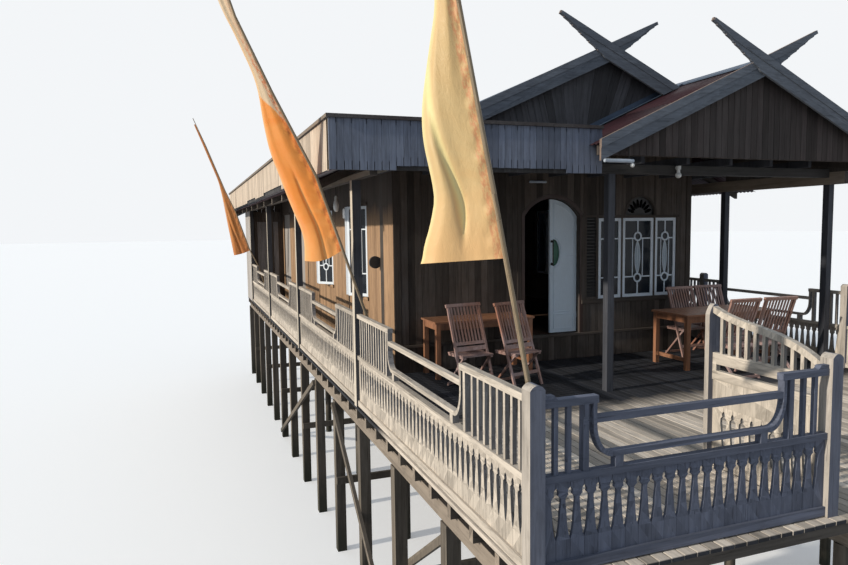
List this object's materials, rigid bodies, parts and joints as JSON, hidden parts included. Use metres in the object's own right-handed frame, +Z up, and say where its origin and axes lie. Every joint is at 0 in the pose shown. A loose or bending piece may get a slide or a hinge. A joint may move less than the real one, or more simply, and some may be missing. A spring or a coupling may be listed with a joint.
{
  "type": "stilt house",
  "caption": "Timber house on stilts with a deck around it, a railing of fretwork boards, a porch gable in front of the main gable, and an arched pair of doors.",
  "frame": {"origin": "on the level that the stilts stand on, under the centre of the house's bounding box", "axes": "+Z up, +Y from the porch towards the back of the house, +X from the river side to the land side"},
  "size_m": [8.6076, 17.34, 7.0494],
  "materials": {
    "stilt_timber": "matte",
    "deck_timber": "matte",
    "frame_timber": "matte",
    "brown_boards": "satin",
    "tan_boards": "satin",
    "pale_boards": "matte",
    "grey_boards": "matte",
    "rail_timber": "matte",
    "post_paint": "satin",
    "white_paint": "semi-gloss",
    "red_trim": "satin",
    "green_glass": "polished",
    "window_glass": "polished",
    "dark_trim": "matte",
    "black_plastic": "matte",
    "roof_sheet": "weathered",
    "lamp_white": "gloss",
    "bamboo": "satin",
    "banner_cloth": "matte",
    "teak": "satin"
  },
  "bodies": {
    "house": {"stilts": "stilt_timber", "stilt_braces": "stilt_timber", "bearers": "stilt_timber", "deck_joists": "stilt_timber", "porch_deck": "deck_timber", "veranda_decks": "deck_timber", "floor_bearers": "frame_timber", "house_floor": "brown_boards", "front_wall_left": "brown_boards", "front_wall_over_door": "brown_boards", "front_wall_right": "brown_boards", "door_threshold": "brown_boards", "river_wall": "tan_boards", "land_wall": "brown_boards", "back_wall": "brown_boards", "end_bay_walls": "pale_boards", "door_frame": "red_trim", "window_sashes": "white_paint", "window_glass": "window_glass", "vent_panels": "dark_trim", "wall_shutters": "pale_boards", "wall_disc": "black_plastic", "roof_posts": "frame_timber", "eave_beams": "frame_timber", "porch_beam": "frame_timber", "ceiling_joists": "frame_timber", "rafters": "frame_timber", "ridge_board": "frame_timber", "main_roof_river": "roof_sheet", "main_roof_land": "roof_sheet", "porch_roof_left": "roof_sheet", "porch_roof_right": "roof_sheet", "lean_roof": "roof_sheet", "ridge_caps": "roof_sheet", "gable_walls": "grey_boards", "bargeboards": "grey_boards", "river_fascia": "tan_boards", "front_fascia": "grey_boards", "land_fascia": "grey_boards", "fascia_caps": "grey_boards", "railing_posts": "post_paint", "river_railing": "rail_timber", "front_railing": "rail_timber", "side_railing": "rail_timber", "land_railing": "rail_timber", "porch_lamp": "lamp_white", "banner_poles": "bamboo", "banners": "banner_cloth", "tables": "teak", "chairs": "teak"},
    "left_leaf": {"door_leaf_left": "white_paint", "door_glass_left": "green_glass"},
    "right_leaf": {"door_leaf_right": "white_paint", "door_glass_right": "green_glass"}
  },
  "joints": [
    {"name": "left_leaf_hinge", "type": "hinge", "parent": "house", "child": "left_leaf", "pos_m": [0.05576, -3.206, 2.69], "axis": [0, 0, 1], "range_deg": [-90, 0]},
    {"name": "right_leaf_hinge", "type": "hinge", "parent": "house", "child": "right_leaf", "pos_m": [0.97176, -3.206, 2.69], "axis": [0, 0, 1], "range_deg": [-90, 0]}
  ]
}
